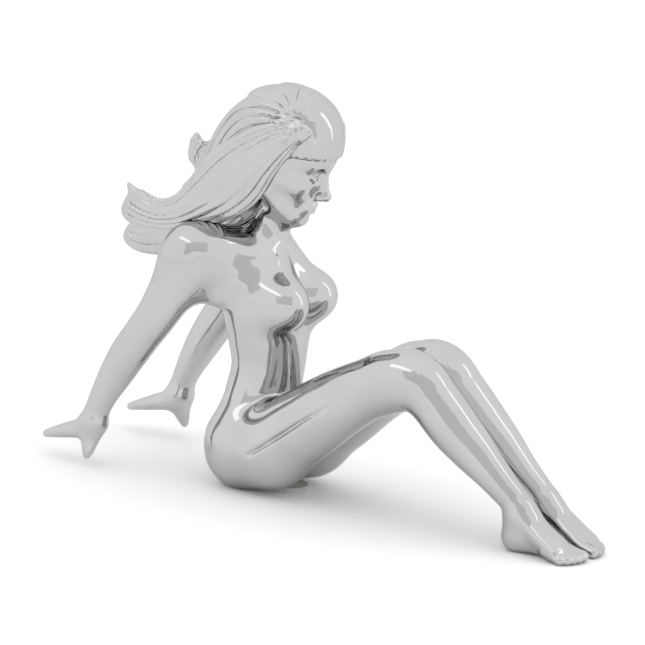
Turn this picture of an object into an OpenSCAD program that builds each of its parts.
// Seated-lady hood ornament: chrome castings on steel dowels, with threaded brass
// inserts underneath. +X runs from the hands to the toes, +Y to the figure's left
// and +Z up. The origin is the mouth of the seat's threaded hole, on the hood.

/* [Mounting] */
// Tapped bore of the seat insert
seat_bore = 5.1; // [4.2:0.1:6]
// Outside diameter of the seat insert
seat_insert_od = 9; // [8:0.5:10]
// Length of the seat insert
seat_insert_len = 12; // [8:1:14]
// Tapped bore of each heel insert
heel_bore = 2.7; // [2.2:0.1:3]
// Outside diameter of each heel insert
heel_insert_od = 4.8; // [4.4:0.1:5.2]
// Length of each heel insert
heel_insert_len = 8; // [6:0.5:9]
// Distance from the seat insert to the heel inserts
heel_x = 91.5; // [90:0.5:93]
// Thickness of the rubber seat gasket
gasket_t = 1.6; // [1:0.2:2.4]
// Length of the seat gasket, fore and aft
gasket_l = 21; // [18:1:22]
// Width of the seat gasket
gasket_w = 15; // [14:1:18]

/* [Figure] */
// Half the distance between the shoulders
shoulder_y = 22; // [21:0.5:23]
// Half the distance between the hands
hand_y = 27.5; // [26:0.5:29]
// Half the distance between the knees
knee_y = 8.7; // [8.5:0.1:9.5]
// Height of the knee's centre line
knee_z = 47.6; // [46:0.4:49.2]
// Nod of the head below level
nod = 12; // [5:1:18]
// Turn of the head to the figure's left
turn = 14; // [0:2:20]
// Radius of the buttocks
seat_r = 13.3; // [12.8:0.1:13.8]
// Radius of the breasts
breast_r = 8.3; // [7.5:0.1:9]

/* [Joinery] */
// Diameter of the dowels that join the castings
dowel_d = 4; // [3:0.5:4.5]
// Length of the dowels
dowel_l = 14; // [10:1:16]
// Length of the short dowel in the crown of the head
crown_dowel_l = 8; // [6:0.5:9]
// Gap around a dowel or an insert in its pocket
pocket_gap = 0.1; // [0.05:0.05:0.2]

/* [Hidden] */
RIGHT = -1;
LEFT = 1;
chrome = "silver";
steel = "gray";
brass = "gold";
rubber = "dimgray";
$fn = 16;                      // facets of the castings' balls
round_fn = 64;                 // facets of turned and drilled rounds
sides = 18;                    // facets round a swept limb
steps = 2;                     // rings between two stations of a limb
dome = [35, 70];               // rings of a limb's rounded ends, in degrees
big = 400;                     // cutting blocks, larger than the ornament
past = 1;                      // how far a drill runs past the face it enters
seam = 0.02;                   // gap between the two faces of a casting joint
hair_gap = 0.1;                // gap between the hair casting and what it sits over
gasket_sink = 1;               // depth of the gasket's recess
gasket_x = -2;                 // middle of the gasket
heel_y = 8;                    // half the distance between the heel inserts
boss = [14, 10, 12];           // seat boss between its corner centres, and its height
boss_r = 5;                    // corner radius of the seat boss

// Where the castings part: a point on each plane and the direction across it.
shoulder_cut = [-25, 13.5, 73.5];
shoulder_dir = [-0.574, 0.79, 0.215];
hip_cut = [9.5, 12, 18];
hip_dir = [1, 0, 0];
neck_cut = [-14.5, 0, 84];
neck_dir = [0.42, 0, 0.91];
head_c = [-10, 0, 107.5];      // middle of the skull
crown = [-3, 0, 17];           // hair dowel, in the head's own frame

// Stations of each swept form: [x, y, z, half width, half depth].
torso_path = [
    [-10, 0, 9, 15, 11], [-11, 0, 17, 20.5, 13.2], [-11.2, 0, 24, 19.6, 11.4],
    [-10.4, 0, 31, 16.8, 10.3], [-9.6, 0, 39.5, 15, 10.2], [-10.3, 0, 48.5, 16.6, 12],
    [-11.8, 0, 58.5, 18.8, 13], [-14.4, 0, 67.5, 19, 11.6], [-16.8, 0, 74, 15, 8.8],
    [-16, 0, 79, 8.5, 7.5], [-13.6, 0, 86, 6.2, 6.4], [-10.5, 0, 92, 6.1, 6.5]];
arm_path = [
    [-29.5, shoulder_y, 77, 7.4, 7.7], [-31.6, 23.4, 70, 7.7, 8.4], [-34.8, 25, 61, 7.1, 7.6],
    [-38.2, 26, 53.5, 6.4, 6.8], [-42.6, 26.5, 46, 6, 6.4], [-46.6, 27, 39, 5.9, 6.2],
    [-50.7, 27, 31, 5.2, 5.5], [-56.5, hand_y, 15, 3.9, 4.2]];
leg_path = [
    [2, 12, 16, 12, 13.4], [11, 12.3, 22.7, 13, 13.6], [24, 11, 33.6, 12, 12.2],
    [37.5, 9.4, 43.8, 9.8, 9.7], [50, knee_y, knee_z, 8.8, 9.1], [57, 8.6, 42.6, 8.5, 8.6],
    [65, 8.5, 35.4, 8.4, 8.5], [73.4, 8.4, 28.8, 7.5, 7.4], [82.5, 8.2, 21.7, 6, 5.6],
    [90.2, 8, 15.6, 5, 4.8], [93.6, 8, 11.4, 4.8, 4.7]];
near_lock = [
    [-4, -13.9, 117.5, 3.6, 7], [-13, -14.6, 106.8, 5.4, 12], [-27, -15.6, 93.5, 5, 10.4],
    [-37, -15.6, 87.6, 4, 7.6], [-48, -15.2, 85.2, 3, 6.4], [-56.5, -14.8, 86.4, 2, 5.4],
    [-61, -14.5, 89, 1, 3]];
far_lock = [
    [-4, 14, 115.5, 3.6, 7], [-17, 15, 101, 5.2, 11.5], [-29, 15, 91, 4.6, 9.6],
    [-42, 14.6, 83, 3.4, 7], [-53, 14, 80.6, 1.6, 4.6]];
upper_lock = [
    [-8, -6, 124, 7, 6], [-26, 0, 114.5, 10, 9], [-37, 4, 104, 6.5, 9],
    [-45.5, 7, 100, 3.6, 7], [-50, 8, 103, 1.4, 4]];
lower_lock = [
    [-16, 6, 102, 8, 9], [-30, 8, 86, 7, 9.5], [-46, 8, 75.5, 4.6, 7.6],
    [-60, 7.5, 69.5, 2.8, 5.6], [-69, 7, 68, 1.2, 3.2]];
back_lock = [
    [-13, 0, 116, 14, 14], [-23, -1, 106, 14.5, 13.5], [-34, -1, 95.5, 11, 11],
    [-44, -3, 87, 6, 8]];

// Rounded forms, each a chain of balls: [x, y, z, radius].
breast = [[-7, 9, 70.5, 5], [-1.4, 9.2, 62.7, breast_r]];
shoulder = [[-17, 5, 80, 5], [-25, 15, 77, 7], [-31, shoulder_y, 75.5, 8]];
upper_arm = [[-31, shoulder_y, 75.5, 8], [-34.5, 24.5, 64.5, 7.9]];
buttock = [[-9, 11, 12.8, seat_r], [4, 12.4, 13.6, seat_r], [14, 12, 21, 12.4]];
neck = [[-17.5, 0, 75, 8.5], [-16, 0, 80, 7], [-13.5, 0, 86, 6.3], [-9.5, 0, 94, 6.2]];
fingers = [
    [-56.5, hand_y, 14, 4], [-58, hand_y, 11.2, 3.6], [-65.5, hand_y - 0.5, 9.3, 3],
    [-71, hand_y - 0.5, 7.6, 2], [-74, hand_y - 0.5, 6.6, 1.2]];
thumb = [
    [-56.5, hand_y, 12, 3.9], [-56, hand_y + 1.8, 8, 2.8],
    [-55.7, hand_y + 3, 5, 1.8], [-55.6, hand_y + 3.5, 3.8, 1.3]];
foot = [[93.5, 8, 9, 4.5], [heel_x, heel_y, 4, 5], [99, 8, 4.6, 3.9], [106, 8, 3.6, 3.4]];
toe_root = [103, 3.6, 2.6];    // x, z and radius where the toes leave the foot
toe_bunch = 0.6;               // how far apart the toes' roots are, of their tips' spread
toes = [[113.6, 3.3, 1.9], [113.6, 6, 1.6], [112.8, 8.4, 1.5], [111.6, 10.6, 1.45],
        [110, 12.6, 1.4]];     // tips: [x, y, radius]

// Masses of the head, in its own frame with the face towards +X.
cranium = [[-2, 0, 4, 14.2], [-4.5, 0, 4.5, 14], [4, 0, 5, 11.5]];
jaw = [[5.5, -7, -3, 5], [5.5, 7, -3, 5], [8.5, 0, -17, 3.2], [2, 0, -8, 7]];
nose = [[12, 0, 1, 1.2], [15.5, 0, -7, 1.7]];
nostril = [[15, 0, -7.4, 1.4], [13, 2, -7.6, 1.3]];
brow = [[11.5, 1, 2.6, 1.4], [9, 7.5, 2.8, 1.3]];
lips = [[12, 0, -11.6, 1.5], [10.3, 3, -12, 0.9]];
hair_cap = [[-3.4, 0, 6.6, 17.4], [1.5, 0, 9.5, 13.8], [3, 0, 10, 13]];
face_opening = [[4, -20, -30], [30, 40, 31]];     // corner and size, cleared from the hair

// Upper chest that the hair is cleared from: middle and half sizes.
chest = [-12, 0, 58.5];
chest_span = [13.5, 20, 20];

function unit(v) = v / norm(v);
function flip(p, side) = [for (i = [0:len(p) - 1]) i == 1 ? p[i] * side : p[i]];
function xyz(p) = [p[0], p[1], p[2]];
function last(v) = v[len(v) - 1];

// A Catmull-Rom curve through the stations.
function between(a, b, c, d, t) =
    0.5 * (2 * b + (c - a) * t + (2 * a - 5 * b + 4 * c - d) * t * t
           + (3 * b - a - 3 * c + d) * t * t * t);
function smooth(p) = [
    for (i = [0:len(p) - 2], j = [0:steps - 1])
        between(p[max(i - 1, 0)], p[i], p[i + 1], p[min(i + 2, len(p) - 1)], j / steps),
    last(p)];

function heading(c, i) = unit(xyz(c[min(i + 1, len(c) - 1)]) - xyz(c[max(i - 1, 0)]));
function across(t) = unit([0, 1, 0] - t[1] * t);
function ring(c, t, grow, shift) =
    let (w = across(t), d = cross(w, t), middle = xyz(c) + shift * t)
    [for (k = [0:sides - 1])
        middle + grow * (c[3] * cos(360 * k / sides) * w + c[4] * sin(360 * k / sides) * d)];

// Sweeps an ellipse along the stations, with a rounded end at each side.
module limb(path, side = 1) {
    c = smooth([for (p = path) flip(p, side)]);
    n = len(c);
    first = heading(c, 0);
    final = heading(c, n - 1);
    r0 = min(c[0][3], c[0][4]);
    r1 = min(c[n - 1][3], c[n - 1][4]);
    rings = concat(
        [for (a = [dome[1], dome[0]]) ring(c[0], first, cos(a), -r0 * sin(a))],
        [for (i = [0:n - 1]) ring(c[i], heading(c, i), 1, 0)],
        [for (a = dome) ring(c[n - 1], final, cos(a), r1 * sin(a))]);
    m = len(rings);
    points = concat([for (r = rings, p = r) p],
                    [xyz(c[0]) - r0 * first, xyz(c[n - 1]) + r1 * final]);
    function at(i, k) = i * sides + k % sides;
    faces = concat(
        [for (i = [0:m - 2], k = [0:sides - 1]) [at(i, k), at(i + 1, k + 1), at(i + 1, k)]],
        [for (i = [0:m - 2], k = [0:sides - 1]) [at(i, k), at(i, k + 1), at(i + 1, k + 1)]],
        [for (k = [0:sides - 1]) [m * sides, at(0, k + 1), at(0, k)]],
        [for (k = [0:sides - 1]) [m * sides + 1, at(m - 1, k), at(m - 1, k + 1)]]);
    polyhedron(points, faces, convexity = 6);
}

module ball(p, grow = 0) translate(xyz(p)) sphere(p[3] + grow);

// One blended mass through all its balls.
module mass(path, grow = 0, side = 1)
    hull() for (p = path) ball(flip(p, side), grow);

// A chain of balls, each blended to the next.
module chain(path, side = 1, grow = 0)
    for (i = [0:len(path) - 2]) mass([path[i], path[i + 1]], grow, side);

// Turns +Z to the given direction at a point.
module aim(p, d)
    translate(p) rotate([0, acos(unit(d)[2]), atan2(d[1], d[0])]) children();

// Everything beyond a joint plane, or on its near side.
module beyond(p, d, side = 1)
    aim(flip(p, side), flip(d, side)) translate([-big / 2, -big / 2, seam / 2]) cube(big);

module before(p, d, side = 1)
    aim(flip(p, side), flip(d, side))
        translate([-big / 2, -big / 2, -big - seam / 2]) cube(big);

module head_frame() translate(head_c) rotate([0, nod, turn]) children();

module dowel(p, d, side = 1, gap = 0, len = dowel_l)
    aim(flip(p, side), flip(d, side))
        cylinder(h = len + 2 * gap, d = dowel_d + 2 * gap, center = true, $fn = round_fn);

module crown_dowel(gap = 0) head_frame() dowel(crown, [0, 0, 1], 1, gap, crown_dowel_l);

module insert(x, y, od, bore, len) color(brass)
    translate([x, y, 0]) difference() {
        cylinder(h = len, d = od, $fn = round_fn);
        translate([0, 0, -past]) cylinder(h = len + 2 * past, d = bore, $fn = round_fn);
    }

module insert_pocket(x, y, od, len)
    translate([x, y, -past])
        cylinder(h = len + past + pocket_gap, d = od + 2 * pocket_gap, $fn = round_fn);

module gasket_outline(grow = 0)
    hull() for (s = [-1, 1]) translate([s * (gasket_l - gasket_w) / 2 + gasket_x, 0])
        circle(d = gasket_w + 2 * grow, $fn = round_fn);

module seat_boss()
    hull() for (x = [-1, 1], y = [-1, 1])
        translate([x * boss[0] / 2, y * boss[1] / 2, 0]) cylinder(h = boss[2], r = boss_r);

// The body's masses, which the joint planes part into castings.
module trunk() {
    limb(torso_path);
    seat_boss();
    for (s = [RIGHT, LEFT], form = [breast, shoulder, buttock]) chain(form, s);
}

module torso() color(chrome) difference() {
    trunk();
    for (s = [RIGHT, LEFT]) {
        beyond(shoulder_cut, shoulder_dir, s);
        beyond(hip_cut, hip_dir, s);
        dowel(shoulder_cut, shoulder_dir, s, pocket_gap);
        dowel(hip_cut, hip_dir, s, pocket_gap);
    }
    beyond(neck_cut, neck_dir);
    dowel(neck_cut, neck_dir, 1, pocket_gap);
    insert_pocket(0, 0, seat_insert_od, seat_insert_len);
    translate([0, 0, -past]) linear_extrude(past + gasket_sink) gasket_outline(pocket_gap);
    translate([-big / 2, -big / 2, -big + gasket_t - gasket_sink]) cube(big);
}

module arm(side) color(chrome) difference() {
    union() {
        limb(arm_path, side);
        for (form = [shoulder, fingers, thumb]) chain(form, side);
    }
    before(shoulder_cut, shoulder_dir, side);
    dowel(shoulder_cut, shoulder_dir, side, pocket_gap);
}

module toe(tip, side)
    chain([[toe_root[0], toes[1][1] + (tip[1] - toes[1][1]) * toe_bunch, toe_root[1], toe_root[2]],
           [tip[0], tip[1], tip[2], tip[2]]], side);

module leg(side) color(chrome) difference() {
    union() {
        limb(leg_path, side);
        chain(buttock, side);
        chain(foot, side);
        for (tip = toes) toe(tip, side);
    }
    before(hip_cut, hip_dir, side);
    dowel(hip_cut, hip_dir, side, pocket_gap);
    insert_pocket(heel_x, side * heel_y, heel_insert_od, heel_insert_len);
    translate([-big / 2, -big / 2, -big]) cube(big);
    translate([-big / 2, side > 0 ? seam / 2 - big : -seam / 2, -big / 2]) cube(big);
}

module skull(grow = 0) {
    mass(cranium, grow);
    mass(jaw, grow);
}

module face() {
    mass(nose);
    for (s = [RIGHT, LEFT], form = [nostril, brow, lips]) mass(form, 0, s);
}

module head() color(chrome) difference() {
    union() {
        head_frame() skull();
        head_frame() face();
        chain(neck);
    }
    before(neck_cut, neck_dir);
    dowel(neck_cut, neck_dir, 1, pocket_gap);
    crown_dowel(pocket_gap);
}

module hair_masses() {
    head_frame() mass(hair_cap);
    for (lock = [near_lock, far_lock, upper_lock, lower_lock, back_lock]) limb(lock);
}

module hair() color(chrome) difference() {
    hair_masses();
    head_frame() {
        skull(hair_gap);
        translate(face_opening[0]) cube(face_opening[1]);
    }
    crown_dowel(pocket_gap);
    chain(neck, 1, 2 * hair_gap);
    for (s = [RIGHT, LEFT], form = [shoulder, upper_arm]) chain(form, s, hair_gap);
    translate(chest) scale(chest_span) sphere(1);
}

module steel_dowel(p, d, side = 1) color(steel) dowel(p, d, side);

module seat_gasket() color(rubber) difference() {
    linear_extrude(gasket_t) gasket_outline();
    translate([0, 0, -past])
        cylinder(h = gasket_t + 2 * past, d = seat_insert_od + 2 * pocket_gap, $fn = round_fn);
}

torso();
head();
hair();
arm(RIGHT);  // right_arm
arm(LEFT);  // left_arm
leg(RIGHT);  // right_leg
leg(LEFT);  // left_leg
steel_dowel(neck_cut, neck_dir);  // neck_dowel
color(steel) crown_dowel();  // hair_dowel
steel_dowel(shoulder_cut, shoulder_dir, RIGHT);  // right_shoulder_dowel
steel_dowel(shoulder_cut, shoulder_dir, LEFT);  // left_shoulder_dowel
steel_dowel(hip_cut, hip_dir, RIGHT);  // right_hip_dowel
steel_dowel(hip_cut, hip_dir, LEFT);  // left_hip_dowel
insert(0, 0, seat_insert_od, seat_bore, seat_insert_len);  // seat_insert
insert(heel_x, RIGHT * heel_y, heel_insert_od, heel_bore, heel_insert_len);  // right_heel_insert
insert(heel_x, LEFT * heel_y, heel_insert_od, heel_bore, heel_insert_len);  // left_heel_insert
seat_gasket();
